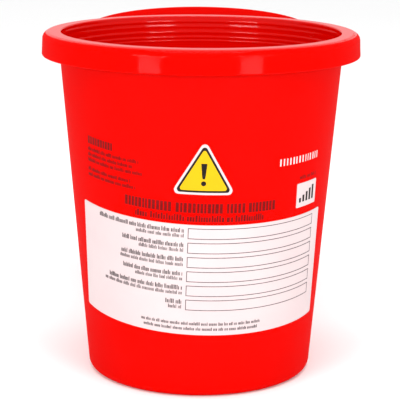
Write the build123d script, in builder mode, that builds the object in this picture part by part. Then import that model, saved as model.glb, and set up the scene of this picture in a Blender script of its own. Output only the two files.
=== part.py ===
from build123d import *
from math import atan, atan2, cos, hypot, radians, sin
import os

os.makedirs("parts", exist_ok=True)

# All sizes in millimetres. The origin is the centre of the container's base, +Z is up,
# -Y is the printed front and the lid is hinged at the back, on +Y.

# container
height = 125.0             # base to the top of the rim
base_radius = 41.1         # outside of the wall, carried down to the base
top_radius = 51.75         # outside of the wall, carried up to the top of the rim
wall = 1.2
floor_thickness = 1.5
base_edge = 3.0            # rounding under the wall
floor_corner = 2.0         # rounding inside, where the wall meets the floor
groove_radius = 31.0       # stiffening groove pressed up under the floor
groove_width = 3.0
groove_depth = 0.5

# rim: a flange that turns down into a skirt
rim_top_radius = 57.1
rim_radius = 57.5          # widest, at the foot of the skirt
skirt_depth = 8.4
skirt_wall = 1.2
rim_shoulder = 2.6
mouth_edge = 0.5
bead_depths = (2.2, 4.2, 6.4, 8.4, 9.8)   # snap beads inside the mouth, below the rim's top
bead_half_widths = (0.8, 0.8, 0.8, 0.7, 0.6)
bead_heights = (0.12, 0.06, 0.12, 0.10, 0.08)

# lid, measured in its own frame: heights count from the rim's top when it is shut
lid_radius = 59.0
lid_gap = 0.3
lid_thickness = 1.3
lip_wall = 1.2
lip_depth = 2.1            # how far the lip hangs below the rim's top
lid_edge = 0.9
plug_root_radius = 49.3
plug_tip_radius = 48.9
plug_wall = 1.0
plug_depth = 10.3
stack_ring_radius = 53.5
stack_ring_width = 2.0
stack_ring_height = 0.6
tab_reach = 66.5
tab_width = 24.0
tab_corner = 5.0

# lid hinge, a moulded strap behind the rim
hinge_y = 59.1
hinge_drop = 2.6           # hinge line below the rim's top
open_angle = 198.0         # from shut to folded back
strap_width = 28.0
strap_thickness = 0.4

# drop opening in the lid and the flap that covers it
opening_y = -8.0
opening_radius = 24.0
collar_wall = 1.2
collar_depth = 3.0
flap_radius = 27.0
flap_thickness = 1.0
flap_plug_radius = 23.5
flap_plug_wall = 0.9
flap_plug_depth = 2.4
flap_tab_width = 14.0
flap_tab_reach = 6.0
flap_hinge_y = 22.0
flap_hinge_width = 18.0
flap_hinge_gap = 0.7       # from the flap's edge to its hinge line
flap_pad_length = 3.0
flap_pad_gap = 1.2         # from the hinge line to the pad on the lid
flap_strap_thickness = 0.3

# print: thin films on the wall, laid out on a flat sheet that is then wrapped on the cone
print_turn = 0.8           # how far the print faces round from the front, towards +X
print_tilt = -1.6          # the sheet leans, left side up
film = 0.15
record_width = 102.0
record_bottom = 23.8
record_top = 64.1
hazard_u = -0.9
hazard_bottom = 74.6
hazard_width = 22.4
capacity_u = 41.2
capacity_bottom = 67.0
capacity_width = 11.4
capacity_height = 8.8

# the wall's cone
slope = (top_radius - base_radius) / height
half_angle = atan(slope)
apex_drop = base_radius / slope


def wall_radius(z):
    """Outside radius of the wall at height z."""
    return base_radius + slope * z


def on_print_plane(u, v):
    """Where a point of the flat sheet, u across and v up, shows on the plane that faces the print."""
    tilt = radians(print_tilt)
    middle = (record_bottom + record_top) / 2
    across = u * cos(tilt) - (v - middle) * sin(tilt)
    up = u * sin(tilt) + (v - middle) * cos(tilt) + middle
    along = apex_drop / cos(half_angle) + up
    slant = hypot(across, along)
    turn = atan2(across, along) / sin(half_angle)
    return (slant * sin(half_angle) * sin(turn), slant * cos(half_angle) - apex_drop)


print_plane = Plane(
    origin=(0, 0, 0),
    x_dir=(cos(radians(print_turn)), sin(radians(print_turn)), 0),
    z_dir=(sin(radians(print_turn)), -cos(radians(print_turn)), 0),
)

# the lid's own frame, folded back about the hinge line
fold = radians(open_angle)
hinge_z = height - hinge_drop
lid_seat = Plane(
    origin=(
        0,
        hinge_y - hinge_y * cos(fold) + hinge_drop * sin(fold),
        hinge_z + hinge_y * sin(fold) + hinge_drop * cos(fold),
    ),
    x_dir=(1, 0, 0),
    z_dir=(0, sin(fold), cos(fold)),
)
lid_section = Plane(origin=lid_seat.origin, x_dir=lid_seat.x_dir, z_dir=-lid_seat.y_dir)
lid_axis = Axis(lid_seat.origin, lid_seat.z_dir)
lid_top = lid_gap + lid_thickness
flap_under = lid_top + lid_gap
flap_top = flap_under + flap_thickness
flap_axis_height = flap_under + flap_thickness / 2


# ---- container: tapered wall, flat floor, beaded mouth and a flange with a skirt ----

with BuildPart() as container:
    with BuildSketch(Plane.XZ) as container_section:
        with BuildLine():
            under_flange = height - wall
            outline = [
                (0, 0),
                (base_radius, 0),
                (wall_radius(under_flange), under_flange),
                (rim_top_radius - skirt_wall, under_flange),
                (rim_radius - skirt_wall, height - skirt_depth),
                (rim_radius, height - skirt_depth),
                (rim_top_radius, height),
                (top_radius - wall, height),
            ]
            Polyline(*outline)
            last = outline[-1]
            for depth, half, bulge in zip(bead_depths, bead_half_widths, bead_heights):
                above = height - depth + half
                below = height - depth - half
                upper = (wall_radius(above) - wall, above)
                crest = (wall_radius(height - depth) - wall - bulge, height - depth)
                lower = (wall_radius(below) - wall, below)
                Line(last, upper)
                ThreePointArc(upper, crest, lower)
                last = lower
            Polyline(
                last,
                (wall_radius(floor_thickness) - wall, floor_thickness),
                (0, floor_thickness),
                (0, 0),
            )
        make_face()
    revolve(axis=Axis.Z)
    rings = container.edges().filter_by(GeomType.CIRCLE)
    base_ring = rings.group_by(Axis.Z)[0].sort_by(SortBy.RADIUS)[-1]
    fillet(base_ring, radius=base_edge)
    floor_rings = container.edges().filter_by(GeomType.CIRCLE).filter_by_position(
        Axis.Z, floor_thickness - 0.01, floor_thickness + 0.01
    )
    fillet(floor_rings.sort_by(SortBy.RADIUS)[-1], radius=floor_corner)
    top_rings = container.edges().filter_by(GeomType.CIRCLE).group_by(Axis.Z)[-1].sort_by(SortBy.RADIUS)
    fillet(top_rings[-1], radius=rim_shoulder)
    fillet(top_rings[0], radius=mouth_edge)
    skirt_rings = container.edges().filter_by(GeomType.CIRCLE).filter_by_position(
        Axis.Z, height - skirt_depth - 0.01, height - skirt_depth + 0.01
    )
    fillet(skirt_rings, radius=skirt_wall * 0.45)
    under_rings = container.edges().filter_by(GeomType.CIRCLE).filter_by_position(
        Axis.Z, under_flange - 0.01, under_flange + 0.01
    )
    fillet(under_rings.sort_by(SortBy.RADIUS)[-1], radius=rim_shoulder - skirt_wall)
    with BuildSketch(Plane.XY):
        Circle(groove_radius + groove_width)
        Circle(groove_radius, mode=Mode.SUBTRACT)
    extrude(amount=groove_depth, mode=Mode.SUBTRACT)
container.part.label = "container"
export_step(container.part, "parts/container.step")


# ---- hinge strap: the thin web that leaves the rim along the hinge line ----

with BuildPart() as hinge_strap:
    with BuildSketch(Plane.XY.offset(hinge_z - strap_thickness / 2)):
        with Locations((0, hinge_y - hinge_drop)):
            Rectangle(strap_width, 2 * hinge_drop)
    extrude(amount=strap_thickness)
    add(container.part, mode=Mode.SUBTRACT)
    with BuildSketch(Plane.XY):
        Circle(rim_radius - skirt_wall / 2)
    extrude(amount=height, mode=Mode.SUBTRACT)
hinge_strap.part.label = "hinge_strap"
export_step(hinge_strap.part, "parts/hinge_strap.step")


# ---- printed films on the wall ----

def film_section(low, high):
    """Section of a film on the wall, from one height to the other."""
    with BuildSketch(Plane.XZ) as section:
        with BuildLine():
            Polyline(
                (wall_radius(low), low),
                (wall_radius(low) + film, low),
                (wall_radius(high) + film, high),
                (wall_radius(high), high),
                (wall_radius(low), low),
            )
        make_face()
    return section.sketch


def sheet_face(corners):
    """A face on the print plane whose edges are straight on the flat sheet."""
    with BuildSketch(print_plane) as face:
        with BuildLine():
            for (u0, v0), (u1, v1) in zip(corners, corners[1:] + corners[:1]):
                ThreePointArc(
                    on_print_plane(u0, v0),
                    on_print_plane((u0 + u1) / 2, (v0 + v1) / 2),
                    on_print_plane(u1, v1),
                )
        make_face()
    return face.sketch


def sheet_rectangle(u, v, width, tall):
    """Corners of a rectangle on the sheet: middle of its lower edge, width and height."""
    left = u - width / 2
    right = u + width / 2
    return [(left, v), (right, v), (right, v + tall), (left, v + tall)]


record_sheet = sheet_rectangle(0, record_bottom, record_width, record_top - record_bottom)
hazard_sheet = [
    (hazard_u - hazard_width / 2, hazard_bottom),
    (hazard_u + hazard_width / 2, hazard_bottom),
    (hazard_u, hazard_bottom + hazard_width * cos(radians(30))),
]
capacity_sheet = sheet_rectangle(capacity_u, capacity_bottom, capacity_width, capacity_height)

with BuildPart() as record_label:
    revolve(film_section(record_bottom - 3, record_top + 7), axis=Axis.Z)
    extrude(sheet_face(record_sheet), amount=rim_radius, mode=Mode.INTERSECT)
record_label.part.label = "record_label"
export_step(record_label.part, "parts/record_label.step")

with BuildPart() as hazard_label:
    revolve(film_section(hazard_bottom - 3, hazard_bottom + hazard_width), axis=Axis.Z)
    extrude(sheet_face(hazard_sheet), amount=rim_radius, mode=Mode.INTERSECT)
hazard_label.part.label = "hazard_label"
export_step(hazard_label.part, "parts/hazard_label.step")

with BuildPart() as capacity_label:
    revolve(film_section(capacity_bottom - 3, capacity_bottom + capacity_height + 4), axis=Axis.Z)
    extrude(sheet_face(capacity_sheet), amount=rim_radius, mode=Mode.INTERSECT)
capacity_label.part.label = "capacity_label"
export_step(capacity_label.part, "parts/capacity_label.step")


# ---- lid: plate, lip, deep plug ring, stacking ring, thumb tab and collared drop opening ----

with BuildPart() as lid:
    with BuildSketch(lid_section):
        with BuildLine():
            Polyline(
                (0, lid_gap),
                (plug_root_radius - plug_wall, lid_gap),
                (plug_tip_radius - plug_wall, -plug_depth),
                (plug_tip_radius, -plug_depth),
                (plug_root_radius, lid_gap),
                (lid_radius - lip_wall, lid_gap),
                (lid_radius - lip_wall, -lip_depth),
                (lid_radius, -lip_depth),
                (lid_radius, lid_top),
                (stack_ring_radius + stack_ring_width / 2, lid_top),
                (stack_ring_radius + stack_ring_width / 2, lid_top + stack_ring_height),
                (stack_ring_radius - stack_ring_width / 2, lid_top + stack_ring_height),
                (stack_ring_radius - stack_ring_width / 2, lid_top),
                (0, lid_top),
                (0, lid_gap),
            )
        make_face()
    revolve(axis=lid_axis)
    lid_rings = lid.edges().filter_by(GeomType.CIRCLE)
    rim_of_lid = lid_rings.filter_by(lambda e: abs(e.radius - lid_radius) < 0.01)
    outer_top = rim_of_lid.sort_by(lambda e: e.center().Z)[0]
    fillet(outer_top, radius=lid_edge)
    plug_rings = lid.edges().filter_by(GeomType.CIRCLE).filter_by(
        lambda e: abs(lid_seat.to_local_coords(e.center()).Z + plug_depth) < 0.01
    )
    fillet(plug_rings, radius=plug_wall * 0.4)
    with BuildSketch(lid_seat.offset(lid_gap)):
        with Locations((0, -(lid_radius + tab_reach) / 2 + 2)):
            RectangleRounded(tab_width, tab_reach - lid_radius + 8, tab_corner)
        Circle(lid_radius - lip_wall, mode=Mode.SUBTRACT)
    extrude(amount=lid_thickness)
    with BuildSketch(lid_seat.offset(lid_gap)):
        with Locations((0, opening_y)):
            Circle(opening_radius + collar_wall)
    extrude(amount=-collar_depth)
    with BuildSketch(lid_seat.offset(lid_top)):
        with Locations((0, opening_y)):
            Circle(opening_radius)
    extrude(amount=-(lid_thickness + collar_depth), mode=Mode.SUBTRACT)
    with BuildSketch(lid_seat.offset(lid_top)):
        with Locations((0, flap_hinge_y + flap_pad_gap + flap_pad_length / 2)):
            Rectangle(flap_hinge_width, flap_pad_length)
    extrude(amount=flap_axis_height + flap_strap_thickness - lid_top)
lid.part.label = "lid"
export_step(lid.part, "parts/lid.step")


# ---- flap strap: the web from the pad on the lid to the flap's hinge line ----

with BuildPart() as flap_strap:
    with BuildSketch(lid_seat.offset(flap_axis_height - flap_strap_thickness / 2)):
        with Locations((0, flap_hinge_y + flap_pad_gap / 2)):
            Rectangle(flap_hinge_width, flap_pad_gap)
    extrude(amount=flap_strap_thickness)
flap_strap.part.label = "flap_strap"
export_step(flap_strap.part, "parts/flap_strap.step")


# ---- drop flap: disc, thumb tab, hinge ear and a plug that fills the collar ----

with BuildPart() as drop_flap:
    with BuildSketch(lid_seat.offset(flap_under)):
        with Locations((0, opening_y)):
            Circle(flap_radius)
        with Locations((0, opening_y - flap_radius)):
            RectangleRounded(flap_tab_width, 2 * flap_tab_reach, flap_tab_reach * 0.6)
        with Locations((0, opening_y + flap_radius - 3)):
            Rectangle(flap_hinge_width, 2 * (flap_hinge_y - flap_hinge_gap - opening_y - flap_radius + 3))
    extrude(amount=flap_thickness)
    with BuildSketch(lid_seat.offset(flap_under)):
        with Locations((0, opening_y)):
            Circle(flap_plug_radius)
            Circle(flap_plug_radius - flap_plug_wall, mode=Mode.SUBTRACT)
    extrude(amount=-flap_plug_depth)
drop_flap.part.label = "drop_flap"
export_step(drop_flap.part, "parts/drop_flap.step")

flap_axis_point = lid_seat.from_local_coords((0, flap_hinge_y, flap_axis_height))
print("lid hinge at", 0, hinge_y, hinge_z)
print("flap hinge at", flap_axis_point.X, flap_axis_point.Y, flap_axis_point.Z)
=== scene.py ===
from math import atan, atan2, ceil, cos, hypot, pi, radians, sin, sqrt
from random import Random
from typing import NamedTuple

import bmesh
import bpy
from mathutils import Matrix, Vector


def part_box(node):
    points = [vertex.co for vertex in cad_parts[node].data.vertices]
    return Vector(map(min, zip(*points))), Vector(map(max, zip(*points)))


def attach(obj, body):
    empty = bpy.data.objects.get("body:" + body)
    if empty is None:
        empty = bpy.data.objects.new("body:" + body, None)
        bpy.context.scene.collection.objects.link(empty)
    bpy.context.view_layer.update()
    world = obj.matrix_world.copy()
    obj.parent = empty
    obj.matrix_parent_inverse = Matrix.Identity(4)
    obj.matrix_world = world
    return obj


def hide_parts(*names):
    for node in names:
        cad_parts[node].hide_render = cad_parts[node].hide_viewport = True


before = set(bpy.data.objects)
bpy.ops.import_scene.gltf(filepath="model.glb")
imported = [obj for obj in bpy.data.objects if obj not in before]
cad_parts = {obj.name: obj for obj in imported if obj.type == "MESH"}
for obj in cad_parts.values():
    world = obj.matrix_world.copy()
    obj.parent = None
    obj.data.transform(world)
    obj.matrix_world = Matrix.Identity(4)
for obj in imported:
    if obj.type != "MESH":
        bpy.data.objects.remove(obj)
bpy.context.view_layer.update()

# Sizes are in metres, in the frame of the bin: +Z up, origin on the base, hinge on +Y.
MM = 0.001

# ---------------------------------------------------------------- the wall that carries the print

BIN_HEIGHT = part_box("container")[1].z
BASE_RADIUS = 41.1 * MM           # outside of the wall, carried down to the base
TOP_RADIUS = 51.75 * MM           # outside of the wall, carried up to the rim's top
MOUTH_RADIUS = 50.5 * MM          # a little inside the rim's edge
SLOPE = (TOP_RADIUS - BASE_RADIUS) / BIN_HEIGHT
HALF_ANGLE = atan(SLOPE)
APEX_DROP = BASE_RADIUS / SLOPE
PRINT_TURN = radians(0.8)         # the print faces this far round from -Y, towards +X
PRINT_TILT = radians(-1.6)        # the print leans, left side up

# The flat print is laid out in millimetres: u across from its middle, v up from the base.
PRINT_MIDDLE = 43.95              # v of the point that the print leans about
FILM = 0.15                       # thickness of label film
INK = 0.04                        # thickness of printing ink
STEP = 1.2                        # widest facet of a wrapped film


def on_wall(u, v, lift):
    """The place on the wall of a point of the flat print, lifted off the surface, all in millimetres."""
    across = (u * cos(PRINT_TILT) - (v - PRINT_MIDDLE) * sin(PRINT_TILT)) * MM
    up = (u * sin(PRINT_TILT) + (v - PRINT_MIDDLE) * cos(PRINT_TILT) + PRINT_MIDDLE) * MM
    along = APEX_DROP / cos(HALF_ANGLE) + up
    slant = hypot(across, along)
    turn = atan2(across, along) / sin(HALF_ANGLE) + PRINT_TURN
    radius = slant * sin(HALF_ANGLE) + lift * MM * cos(HALF_ANGLE)
    height = slant * cos(HALF_ANGLE) - APEX_DROP - lift * MM * sin(HALF_ANGLE)
    return Vector((radius * sin(turn), -radius * cos(turn), height))


# ---------------------------------------------------------------- shader writing

class Wire:
    """A shader socket that takes part in sums: arithmetic and comparisons on it add Math nodes."""

    def __init__(self, finish, socket):
        self.finish = finish
        self.socket = socket

    def sum_node(self, operation, first, second):
        return self.finish.node("ShaderNodeMath", {"operation": operation}, {0: first, 1: second})

    def __add__(self, other):
        return self.sum_node("ADD", self, other)

    def __radd__(self, other):
        return self.sum_node("ADD", other, self)

    def __sub__(self, other):
        return self.sum_node("SUBTRACT", self, other)

    def __rsub__(self, other):
        return self.sum_node("SUBTRACT", other, self)

    def __mul__(self, other):
        return self.sum_node("MULTIPLY", self, other)

    def __rmul__(self, other):
        return self.sum_node("MULTIPLY", other, self)

    def __gt__(self, other):
        return self.sum_node("GREATER_THAN", self, other)

    def __lt__(self, other):
        return self.sum_node("LESS_THAN", self, other)


class Finish:
    """One material: a Principled shader and the nodes that feed it. Socket names take _ for a space."""

    def __init__(self, name, **fixed):
        self.material = bpy.data.materials.new(name)
        self.material.use_nodes = True
        self.tree = self.material.node_tree
        self.tree.nodes.clear()
        self.shader = self.tree.nodes.new("ShaderNodeBsdfPrincipled")
        output = self.tree.nodes.new("ShaderNodeOutputMaterial")
        self.tree.links.new(self.shader.outputs["BSDF"], output.inputs["Surface"])
        self.feed(**fixed)

    def node(self, kind, settings=None, values=None, out=0):
        made = self.tree.nodes.new(kind)
        for key, value in (settings or {}).items():
            if key == "stops":
                self.set_stops(made.color_ramp, value)
            else:
                setattr(made, key, value)
        for key, value in (values or {}).items():
            self.plug(made.inputs[key], value)
        return Wire(self, made.outputs[out])

    def plug(self, socket, value):
        if isinstance(value, Wire):
            self.tree.links.new(value.socket, socket)
        else:
            socket.default_value = value

    def set_stops(self, ramp, stops):
        while len(ramp.elements) < len(stops):
            ramp.elements.new(0.5)
        for element, (place, tone) in zip(ramp.elements, stops):
            element.position = place
            element.color = (tone, tone, tone, 1)

    def feed(self, **sockets):
        for socket, value in sockets.items():
            self.plug(self.shader.inputs[socket.replace("_", " ")], value)

    def places(self):
        return self.node("ShaderNodeTexCoord", out="Object")

    def stretched(self, places, scale):
        return self.node("ShaderNodeMapping", {}, {"Vector": places, "Scale": scale})

    def noise(self, places, scale, detail=2.0, roughness=0.5):
        return self.node("ShaderNodeTexNoise", {}, {
            "Vector": places, "Scale": scale, "Detail": detail, "Roughness": roughness})

    def ramp(self, wire, *stops):
        return self.node("ShaderNodeValToRGB", {"stops": stops}, {"Fac": wire})

    def between(self, share, first, second):
        """Colour between two colours, by share."""
        return self.node("ShaderNodeMix", {"data_type": "RGBA"}, {0: share, 6: first, 7: second}, out=2)

    def bump(self, height, strength, distance):
        return self.node("ShaderNodeBump", {}, {
            "Height": height, "Strength": strength, "Distance": distance})


SNAP_BEADS_LOW = BIN_HEIGHT - 11.5 * MM
RIM_TOP_LOW = BIN_HEIGHT - 0.4 * MM
MOUTH_POLISH = 0.2
RIM_POLISH = 0.5


def mouth_polish(finish, places):
    """Extra coat inside the mouth, round the snap beads, and more on the flat top of the rim."""
    height = finish.node("ShaderNodeSeparateXYZ", {}, {"Vector": places}, out=2)
    flat = finish.stretched(places, (1, 1, 0))
    radius = finish.node("ShaderNodeVectorMath", {"operation": "LENGTH"}, {0: flat}, out=1)
    inside = (height > SNAP_BEADS_LOW) * (radius < MOUTH_RADIUS)
    return MOUTH_POLISH * inside + RIM_POLISH * (height > RIM_TOP_LOW)


def moulded_red(name, deep, bright, gloss, has_mouth):
    """Glossy moulded polypropylene: faint flow clouds, soft ripple of the mould and a few rubbed patches."""
    finish = Finish(name, Specular_IOR_Level=0.0, Coat_Roughness=gloss, Coat_IOR=1.5)
    places = finish.places()
    flow = finish.noise(finish.stretched(places, (1, 1, 0.25)), 34, 3)
    ripple = finish.noise(finish.stretched(places, (1, 1, 0.4)), 120, 2)
    grain = finish.noise(places, 1500, 2)
    rubbed = finish.ramp(finish.noise(places, 60, 5, 0.65), (0.55, 0.0), (0.75, 1.0))
    coat = 0.055 - 0.02 * rubbed
    if has_mouth:
        coat = coat + mouth_polish(finish, places)
    finish.feed(
        Base_Color=finish.between(flow, deep, bright),
        Roughness=0.2 + 0.05 * rubbed + 0.03 * grain,
        Coat_Weight=coat,
        Normal=finish.bump(ripple * 0.8 + grain * 0.06, 0.16, 0.25 * MM),
    )
    return finish.material


def printed_film(name, clean, aged):
    """Satin plastic label film: nearly even colour with a faint cloud and a fine tooth."""
    finish = Finish(name, Specular_IOR_Level=0.12)
    places = finish.places()
    cloud = finish.noise(places, 45, 4)
    tooth = finish.noise(places, 2600, 2)
    finish.feed(
        Base_Color=finish.between(finish.ramp(cloud, (0.35, 0.0), (0.8, 1.0)), clean, aged),
        Roughness=0.38 + 0.12 * cloud,
        Normal=finish.bump(tooth, 0.12, 0.05 * MM),
    )
    return finish.material


def printing_ink(name, full, thin):
    """Flat ink that lies a little thinner in places."""
    finish = Finish(name, Specular_IOR_Level=0.1)
    places = finish.places()
    mottle = finish.noise(places, 900, 3, 0.6)
    finish.feed(
        Base_Color=finish.between(finish.ramp(mottle, (0.45, 0.0), (0.75, 1.0)), full, thin),
        Roughness=0.45 + 0.15 * mottle,
        Normal=finish.bump(mottle, 0.1, 0.02 * MM),
    )
    return finish.material


def pale_floor():
    """Matt pale studio board."""
    finish = Finish("studio_board", Specular_IOR_Level=0.1)
    places = finish.places()
    drift = finish.noise(places, 3, 3)
    finish.feed(
        Base_Color=finish.between(drift, (0.93, 0.93, 0.93, 1), (0.95, 0.95, 0.95, 1)),
        Roughness=0.7 + 0.1 * drift,
    )
    return finish.material


red_container = moulded_red(
    "red_moulded_wall", (0.54, 0.0006, 0.0, 1), (0.57, 0.0010, 0.0, 1), gloss=0.08, has_mouth=True)
red_lid = moulded_red(
    "red_moulded_lid", (0.52, 0.0010, 0.0002, 1), (0.56, 0.0014, 0.0003, 1), gloss=0.12, has_mouth=False)
# painted reflection: the pink in both white film colours is painted red bounce light from the bin's walls;
# the film itself is white. Record, hazard and capacity sheets all carry it.
white_film = printed_film("white_label_film", (0.56, 0.47, 0.47, 1), (0.54, 0.44, 0.445, 1))
yellow_film = printed_film("yellow_hazard_film", (0.58, 0.36, 0.002, 1), (0.54, 0.33, 0.003, 1))
black_ink = printing_ink("black_ink", (0.010, 0.007, 0.006, 1), (0.022, 0.016, 0.014, 1))
grey_ink = printing_ink("grey_line_ink", (0.10, 0.085, 0.09, 1), (0.18, 0.15, 0.16, 1))
caption_ink = printing_ink("caption_ink", (0.035, 0.028, 0.030, 1), (0.08, 0.065, 0.07, 1))
white_ink = printing_ink("white_ink", (0.66, 0.54, 0.54, 1), (0.60, 0.44, 0.44, 1))
dark_red_ink = printing_ink("dark_red_ink", (0.12, 0.0005, 0.0004, 1), (0.20, 0.0008, 0.0005, 1))


# ---------------------------------------------------------------- camera

CAMERA_LENS = 139.4               # focal length and sensor width, millimetres
CAMERA_SENSOR = 36
CAMERA_DISTANCE = 559 * MM
CAMERA_HEIGHT = 188.9 * MM
CAMERA_PITCH = radians(12.77)
CAMERA_ROLL = radians(0.45)
CAMERA_TURN = radians(-0.5)       # the camera stands this far round from -Y, towards +X

camera_data = bpy.data.cameras.new("camera")
camera_data.lens = CAMERA_LENS
camera_data.sensor_width = CAMERA_SENSOR
camera_data.clip_start = 0.01
camera_data.clip_end = 50
camera = bpy.data.objects.new("camera", camera_data)
bpy.context.scene.collection.objects.link(camera)
camera.matrix_world = (
    Matrix.Rotation(CAMERA_TURN, 4, "Z")
    @ Matrix.Translation((0, -CAMERA_DISTANCE, CAMERA_HEIGHT))
    @ Matrix.Rotation(pi / 2 - CAMERA_PITCH, 4, "X")
    @ Matrix.Rotation(CAMERA_ROLL, 4, "Z")
)
bpy.context.scene.camera = camera


# ---------------------------------------------------------------- meshes

SHARP_EDGE = radians(40)
CORNER_FACETS = 6                 # facets in a label's quarter-round corner
TRIANGLE_FACETS = 60
DISC_FACETS = 16
SLIVER = 0.01                     # least height of a column, so that no face folds shut


def new_object(name, mesh_maker, material, smooth=True):
    """A mesh object, which mesh_maker fills, in one material."""
    mesh = bpy.data.meshes.new(name)
    work = bmesh.new()
    mesh_maker(work)
    bmesh.ops.recalc_face_normals(work, faces=work.faces)
    work.to_mesh(mesh)
    work.free()
    made = bpy.data.objects.new(name, mesh)
    bpy.context.scene.collection.objects.link(made)
    mesh.materials.append(material)
    if smooth:
        mesh.shade_smooth()
        mesh.set_sharp_from_angle(angle=SHARP_EDGE)
    return made


def add_patch(work, columns, lift, thickness):
    """A closed film on the wall. Columns run left to right, each (u, lower v, upper v)."""
    rows = []
    for u, low, high in columns:
        rows.append([
            work.verts.new(on_wall(u, v, lift + rise))
            for v, rise in ((low, 0), (high, 0), (high, thickness), (low, thickness))
        ])
    for left, right in zip(rows, rows[1:]):
        for k in range(4):
            work.faces.new((left[k], right[k], right[(k + 1) % 4], left[(k + 1) % 4]))
    work.faces.new(rows[0])
    work.faces.new(rows[-1][::-1])


def bar_columns(left, right, low, high):
    """Columns of a plain rectangle."""
    count = max(1, ceil((right - left) / STEP))
    return [(left + (right - left) * k / count, low, high) for k in range(count + 1)]


def rounded_columns(left, right, low, high, corner):
    """Columns of a rectangle with round corners."""
    turns = [pi / 2 * k / CORNER_FACETS for k in range(CORNER_FACETS + 1)]
    ends = [(corner * (1 - cos(turn)), corner * (1 - sin(turn))) for turn in turns]
    columns = [(left + run, low + cut, high - cut) for run, cut in ends]
    columns += bar_columns(left + corner, right - corner, low, high)[1:-1]
    columns += [(right - run, low + cut, high - cut) for run, cut in reversed(ends)]
    return columns


def triangle_columns(middle, low, side, corner):
    """Columns of an upright equal-sided triangle whose three corners are rounded off."""
    inner = side - 2 * corner * sqrt(3)
    base = low + corner
    columns = []
    for k in range(TRIANGLE_FACETS + 1):
        u = (inner / 2 + corner) * (2 * k / TRIANGLE_FACETS - 1)
        reach = abs(u)
        high_line = base + (inner / 2 - reach) * sqrt(3) + 2 * corner
        if reach < corner * sqrt(3) / 2:
            high = base + inner * sqrt(3) / 2 + sqrt(corner ** 2 - u ** 2)
        else:
            high = high_line
        bottom = low
        if reach > inner / 2:
            rise = sqrt(max(corner ** 2 - (reach - inner / 2) ** 2, 0))
            bottom = base - rise
            high = min(high_line, base + rise) if reach - inner / 2 > corner * sqrt(3) / 2 else high_line
        columns.append((middle + u, bottom, max(high, bottom + SLIVER)))
    return columns


def disc_columns(middle, centre, radius):
    """Columns of a round dot."""
    columns = []
    for k in range(DISC_FACETS + 1):
        turn = pi * k / DISC_FACETS
        reach = radius * sin(turn) + SLIVER / 2
        columns.append((middle - radius * cos(turn), centre - reach, centre + reach))
    return columns


def tapered_columns(middle, low, high, foot, head):
    """Columns of a bar that widens upwards, cut flat at both ends. Foot and head are its half widths."""
    columns = []
    for k in range(11):
        u = head * (2 * k / 10 - 1)
        cut = max(0, abs(u) - foot) / (head - foot)
        columns.append((middle + u, low + (high - low) * 0.94 * cut, high))
    return columns


def outline_patches(left, right, low, high, line):
    """The four sides of an outlined rectangle."""
    return [
        bar_columns(left, right, low, low + line),
        bar_columns(left, right, high - line, high),
        bar_columns(left, left + line, low + line, high - line),
        bar_columns(right - line, right, low + line, high - line),
    ]


def print_piece(name, patches, lift, thickness, material):
    """One printed piece on the container, made of several films."""
    def make(work):
        for columns in patches:
            add_patch(work, columns, lift, thickness)
    made = new_object(name, make, material)
    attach(made, "container")
    return made


# ---------------------------------------------------------------- dummy print: strokes with no letters

class Strokes(NamedTuple):
    """How one size of dummy print is struck."""
    tall: float                   # height of a tall stroke
    width: float                  # mean width of a stroke
    gap: float                    # mean gap between strokes
    word: tuple                   # fewest and most strokes in a word
    tall_share: float             # share of the strokes that are tall


ONE_WORD = (99, 99)
SHORT_STROKE = 0.72               # height of a short stroke beside a tall one
WORD_GAP = 2.2                    # extra space between words, in stroke gaps

CAPTION_STROKES = Strokes(1.65, 0.25, 0.20, (4, 11), 0.3)
SMALL_CAPTION_STROKES = Strokes(1.35, 0.20, 0.20, (4, 11), 0.3)
FOOTER_STROKES = Strokes(1.2, 0.22, 0.18, (3, 9), 0.3)
HEADING_STROKES = Strokes(3.4, 0.8, 0.42, ONE_WORD, 1.0)
SUBHEADING_STROKES = Strokes(2.3, 0.5, 0.34, ONE_WORD, 0.35)
NOTICE_HEAD_STROKES = Strokes(2.7, 0.75, 0.4, ONE_WORD, 1.0)
NOTICE_STROKES = Strokes(1.35, 0.30, 0.2, (3, 9), 0.3)
WHITE_ROW_STROKES = Strokes(2.5, 0.5, 0.85, ONE_WORD, 1.0)
SMALL_ROW_STROKES = Strokes(1.3, 0.32, 0.3, (3, 6), 0.4)

draw = Random(7)


def dummy_line(left, right, low, strokes):
    """A line of words made of plain upright strokes, which fills left to right."""
    bars = []
    u = 0
    while u < right - left:
        for _ in range(draw.randint(*strokes.word)):
            width = strokes.width * draw.uniform(0.8, 1.35)
            height = strokes.tall if draw.random() < strokes.tall_share else strokes.tall * SHORT_STROKE
            bars.append((u, width, height))
            u += width + strokes.gap * draw.uniform(0.8, 1.2)
        u += strokes.gap * WORD_GAP
    bars = [bar for bar in bars if bar[0] + bar[1] < right - left]
    spread = (right - left) / (bars[-1][0] + bars[-1][1])
    return [
        bar_columns(left + u * spread, left + (u + width) * spread, low, low + height)
        for u, width, height in bars
    ]


def dummy_words(extents, low, strokes):
    """Dummy words on one line, each from its left to its right."""
    patches = []
    for left, right in extents:
        patches += dummy_line(left, right, low, strokes)
    return patches


# ---------------------------------------------------------------- record panel

RECORD_WIDTH = 102
RECORD_LOW = 23.8
RECORD_HIGH = 64.1
RECORD_CORNER = 0.8
BOX_LEFT = -5.6
BOX_RIGHT = 45.9
BOX_TOP = 62.9
BOX_HEIGHT = 3.9
BOX_PITCH = 5.22
BOX_LINE = 0.26
CAPTION_RIGHT = -7.0
CAPTION_DROPS = (1.7, 3.45)       # from a box's top to the foot of each caption line beside it
# lengths of the two caption lines beside each box
CAPTION_LENGTHS = ((34, 17.3), (22.9, 16.1), (23.3, 23.7), (22.4, 17.3), (28.8, 31), (5.6, 4.6))

record_sheet = print_piece(
    "record_sheet",
    [rounded_columns(-RECORD_WIDTH / 2, RECORD_WIDTH / 2, RECORD_LOW, RECORD_HIGH, RECORD_CORNER)],
    0, FILM, white_film)
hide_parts("record_label")

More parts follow.
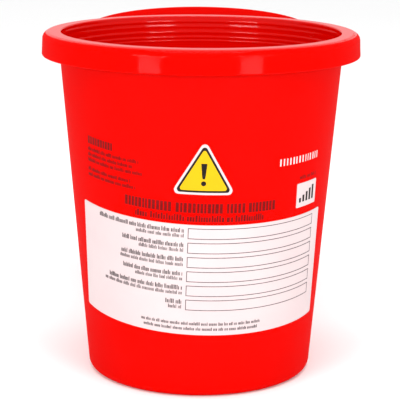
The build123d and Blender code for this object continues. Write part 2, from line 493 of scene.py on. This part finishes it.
box_lines = []
captions = []
for k, lengths in enumerate(CAPTION_LENGTHS):
    top = BOX_TOP - k * BOX_PITCH
    box_lines += outline_patches(BOX_LEFT, BOX_RIGHT, top - BOX_HEIGHT, top, BOX_LINE)
    for drop, length, strokes in zip(CAPTION_DROPS, lengths, (CAPTION_STROKES, SMALL_CAPTION_STROKES)):
        captions += dummy_line(CAPTION_RIGHT - length, CAPTION_RIGHT, top - drop, strokes)
print_piece("record_boxes", box_lines, FILM, INK, grey_ink)
print_piece("record_captions", captions, FILM, INK, caption_ink)

footer = []
for low, half in ((27.4, 21.5), (25.5, 20.5)):
    footer += dummy_line(-half, half, low, FOOTER_STROKES)
print_piece("record_footer", footer, FILM, INK, caption_ink)

# ---------------------------------------------------------------- ink on the wall

heading = dummy_words(((-29.1, -11.7), (-10.1, 6.0), (7.5, 13.9), (15.3, 25.5)), 68.4, HEADING_STROKES)
print_piece("heading_print", heading, 0, INK, dark_red_ink)

subheading = dummy_words(
    ((-24.8, -20.4), (-19.1, -7.1), (-6.1, 6.6), (7.6, 9.7), (10.6, 21.0)), 65.3, SUBHEADING_STROKES)
print_piece("subheading_print", subheading, 0, INK, dark_red_ink)

NOTICE_LEFT = -47.6
notice = dummy_line(NOTICE_LEFT, -35.0, 86.1, NOTICE_HEAD_STROKES)
for low, right in ((83.6, -24.0), (81.6, -26.4), (79.6, -22.6), (76.3, -27.1), (74.3, -25.0)):
    notice += dummy_line(NOTICE_LEFT, right, low, NOTICE_STROKES)
print_piece("notice_print", notice, 0, INK, dark_red_ink)

# ---------------------------------------------------------------- hazard triangle

# white sheet, black border, yellow field and a plain attention mark
HAZARD_U = -0.9
HAZARD_LOW = 75.0
HAZARD_SIDE = 22.2


def hazard_triangle(inset, corner):
    """The label's triangle, drawn in by inset all round."""
    return triangle_columns(HAZARD_U, HAZARD_LOW + inset, HAZARD_SIDE - 2 * sqrt(3) * inset, corner)


hazard_sheet = print_piece(
    "hazard_sheet", [hazard_triangle(0, 1.5)], 0, FILM, white_film)
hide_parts("hazard_label")
print_piece("hazard_border", [hazard_triangle(0.78, 1.0)], FILM, INK, black_ink)
print_piece("hazard_field", [hazard_triangle(1.5, 0.7)], FILM + INK, INK, yellow_film)

attention = [
    tapered_columns(HAZARD_U, HAZARD_LOW + 5.6, HAZARD_LOW + 11.0, 0.5, 1.0),
    disc_columns(HAZARD_U, HAZARD_LOW + 4.0, 0.85),
]
print_piece("attention_mark", attention, FILM + 2 * INK, INK, black_ink)

# ---------------------------------------------------------------- capacity label and the rows over it

CAPACITY_U = 41.2
CAPACITY_LOW = 67.0
CAPACITY_WIDTH = 11.4
CAPACITY_HEIGHT = 8.8
CAPACITY_CORNER = 0.4
SCALE_INSET = 1.3                 # from the label's left edge to the first bar
SCALE_FOOT = 1.8
SCALE_PITCH = 1.85
SCALE_WIDTH = 1.05
SCALE_SHORTEST = 1.6
SCALE_RISE = 0.9                  # each bar is this much taller than the last

capacity_left = CAPACITY_U - CAPACITY_WIDTH / 2
capacity_right = CAPACITY_U + CAPACITY_WIDTH / 2
capacity_high = CAPACITY_LOW + CAPACITY_HEIGHT
capacity_sheet = print_piece(
    "capacity_sheet",
    [rounded_columns(capacity_left, capacity_right, CAPACITY_LOW, capacity_high, CAPACITY_CORNER)],
    0, FILM, white_film)
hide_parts("capacity_label")

scale_marks = []
for k in range(5):
    left = capacity_left + SCALE_INSET + SCALE_PITCH * k
    low = CAPACITY_LOW + SCALE_FOOT
    scale_marks.append(bar_columns(left, left + SCALE_WIDTH, low, low + SCALE_SHORTEST + SCALE_RISE * k))
print_piece("capacity_scale", scale_marks, FILM, INK, black_ink)

white_row = dummy_line(26.8, 46.6, 83.5, WHITE_ROW_STROKES)
print_piece("white_row_print", white_row, 0, INK, white_ink)
small_row = dummy_line(36.8, 46.2, 77.3, SMALL_ROW_STROKES)
print_piece("small_row_print", small_row, 0, INK, dark_red_ink)


# ---------------------------------------------------------------- CAD pieces and their finish

def dress(node, material):
    """Gives a CAD piece its finish."""
    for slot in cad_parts[node].material_slots:
        slot.material = material


for node in ("container", "hinge_strap"):
    dress(node, red_container)
for node in ("lid", "flap_strap", "drop_flap"):
    dress(node, red_lid)
dress("record_label", white_film)
dress("hazard_label", yellow_film)
dress("capacity_label", white_film)


# ---------------------------------------------------------------- floor and light

def make_floor(work):
    bmesh.ops.create_grid(work, x_segments=8, y_segments=8, size=4)


floor = new_object("studio_floor", make_floor, pale_floor(), smooth=False)


def lamp_panel(name, width, height, power):
    """A flat lamp, which shines along its own -Z."""
    data = bpy.data.lights.new(name, "AREA")
    data.shape = "RECTANGLE"
    data.size = width
    data.size_y = height
    data.energy = power
    lamp = bpy.data.objects.new(name, data)
    bpy.context.scene.collection.objects.link(lamp)
    return lamp


LAMP_DISTANCE = 0.75
LAMP_AIM = Vector((0, 0, BIN_HEIGHT * 0.6))


def strip_lamp(name, turn, low, high, width, power):
    """An upright strip that faces the bin, turned round from the camera's side, towards +X."""
    lamp = lamp_panel(name, width, high - low, power)
    angle = CAMERA_TURN + turn
    place = Vector((LAMP_DISTANCE * sin(angle), -LAMP_DISTANCE * cos(angle), (low + high) / 2))
    turned = (LAMP_AIM - place).to_track_quat("-Z", "Y").to_matrix().to_4x4()
    lamp.matrix_world = Matrix.Translation(place) @ turned


# the low strips light the front of the skirt, the high ones the snap beads
for low, high, width, power in ((0.03, 0.091, 0.20, 0.60), (0.099, 0.14, 0.13, 0.24)):
    strip_lamp("left_low_strip", radians(-35), low, high, width, power)
    strip_lamp("right_low_strip", radians(34), low, high, width, power)
strip_lamp("left_high_strip", radians(-39), 0.25, 0.34, 0.34, 1.9)
strip_lamp("right_high_strip", radians(37), 0.25, 0.34, 0.34, 1.9)

# the overhead panel lights the inside of the mouth
overhead = lamp_panel("overhead_panel", 0.5, 0.5, 3.6)
overhead.location = (0, -0.1, 0.8)

world = bpy.data.worlds.new("studio_air")
world.use_nodes = True
world.node_tree.nodes["Background"].inputs["Color"].default_value = (1, 1, 1, 1)
world.node_tree.nodes["Background"].inputs["Strength"].default_value = 1.0
bpy.context.scene.world = world
bpy.context.scene.view_settings.view_transform = "Standard"
